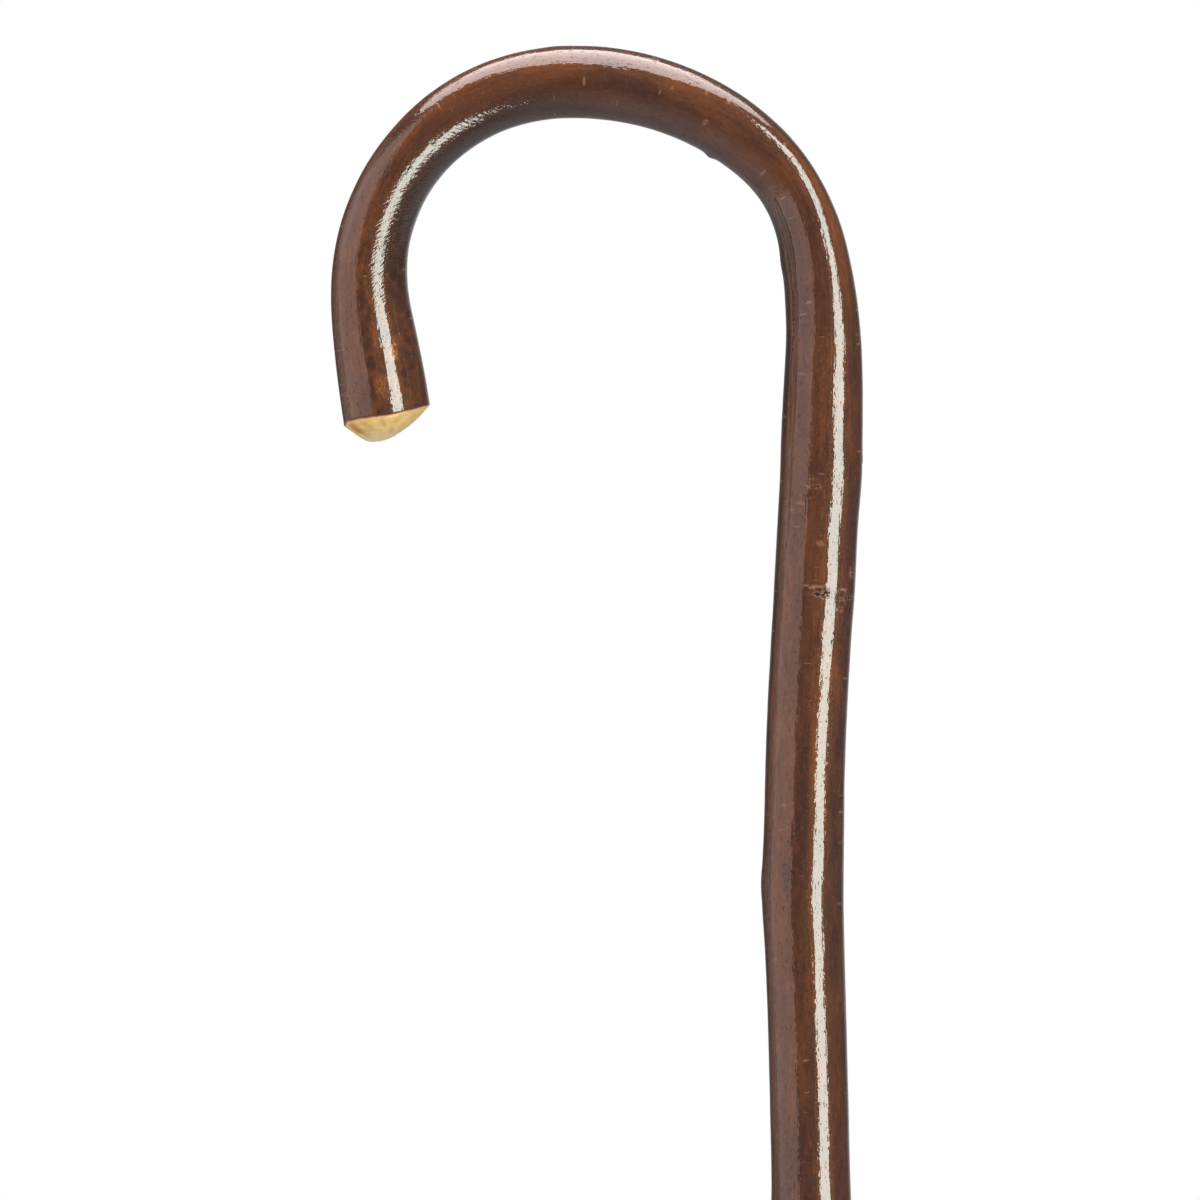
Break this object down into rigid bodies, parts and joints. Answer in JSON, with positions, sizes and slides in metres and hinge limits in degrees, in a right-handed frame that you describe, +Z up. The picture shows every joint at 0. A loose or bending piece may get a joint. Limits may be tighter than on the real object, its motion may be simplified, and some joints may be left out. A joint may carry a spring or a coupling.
{
  "type": "crook walking cane",
  "caption": "Crook walking cane of bark-on bent chestnut with a rasped nose, and a rubber ferrule with a steel washer that pulls off the pared foot.",
  "frame": {"origin": "centre of the ferrule's sole, where the cane touches the ground", "axes": "+Z up the shaft, -X towards the nose of the crook, -Y the near side of the picture"},
  "size_m": [0.1417, 0.033, 0.92],
  "materials": {
    "bare_wood": "rasped and lightly varnished",
    "varnished_bark": "gloss varnish over bark",
    "ferrule_rubber": "matt",
    "washer_steel": "zinc plated"
  },
  "bodies": {
    "stick": {"chestnut_wood": "bare_wood", "bark": "varnished_bark"},
    "ferrule": {"rubber_ferrule": "ferrule_rubber", "steel_washer": "washer_steel"}
  },
  "joints": [
    {"name": "ferrule_pull", "type": "slide", "parent": "stick", "child": "ferrule", "axis": [0, 0, -1], "range_m": [0, 0.03]}
  ]
}
